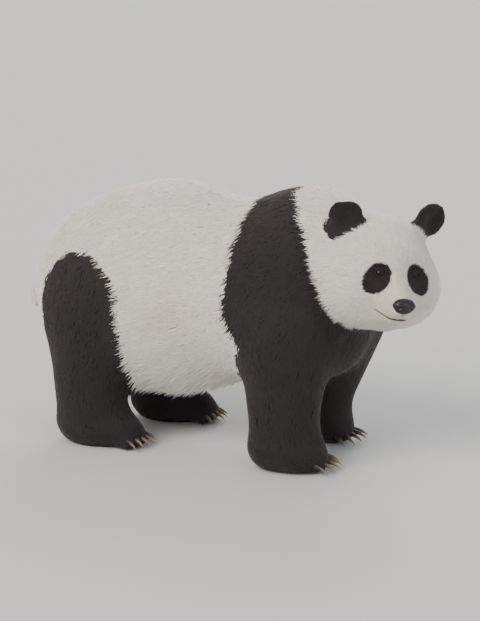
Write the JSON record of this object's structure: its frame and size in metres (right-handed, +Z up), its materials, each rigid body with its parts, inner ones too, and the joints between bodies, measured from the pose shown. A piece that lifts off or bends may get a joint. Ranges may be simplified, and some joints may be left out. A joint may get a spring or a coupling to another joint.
{
  "type": "giant panda model",
  "caption": "Adult giant panda standing on its feet with its head turned to its right: a still, life-size model with dark limbs, shoulder band, ears and eye patches on a pale body.",
  "frame": {"origin": "on the floor, under the middle of the model's box", "axes": "+X the way the trunk faces, from tail to breast; +Y the animal's left; +Z up; the soles stand on Z = 0"},
  "size_m": [1.3274, 0.544, 0.7891],
  "materials": {
    "pale_fur": "cream-white fur, matt and a little dusty",
    "dark_fur": "brown-black fur, matt with a soft sheen",
    "nose_pad": "black, pebbled, slightly moist",
    "eye": "dark brown, polished and wet",
    "claw": "grey-brown horn, worn smooth"
  },
  "bodies": {
    "root": {"head": "pale_fur", "lower_jaw": "pale_fur", "nose": "nose_pad", "eye_left": "eye", "eye_right": "eye", "eye_patch_left": "dark_fur", "eye_patch_right": "dark_fur", "ear_left": "dark_fur", "ear_right": "dark_fur", "neck": "pale_fur", "shoulders": "dark_fur", "trunk": "pale_fur", "tail": "pale_fur", "upper_arm_right": "dark_fur", "forearm_right": "dark_fur", "forepaw_right": "dark_fur", "claw_fore_right_1": "claw", "claw_fore_right_2": "claw", "claw_fore_right_3": "claw", "claw_fore_right_4": "claw", "claw_fore_right_5": "claw", "thigh_right": "dark_fur", "shank_right": "dark_fur", "hindpaw_right": "dark_fur", "claw_hind_right_1": "claw", "claw_hind_right_2": "claw", "claw_hind_right_3": "claw", "claw_hind_right_4": "claw", "claw_hind_right_5": "claw", "upper_arm_left": "dark_fur", "forearm_left": "dark_fur", "forepaw_left": "dark_fur", "claw_fore_left_1": "claw", "claw_fore_left_2": "claw", "claw_fore_left_3": "claw", "claw_fore_left_4": "claw", "claw_fore_left_5": "claw", "thigh_left": "dark_fur", "shank_left": "dark_fur", "hindpaw_left": "dark_fur", "claw_hind_left_1": "claw", "claw_hind_left_2": "claw", "claw_hind_left_3": "claw", "claw_hind_left_4": "claw", "claw_hind_left_5": "claw"}
  },
  "joints": []
}
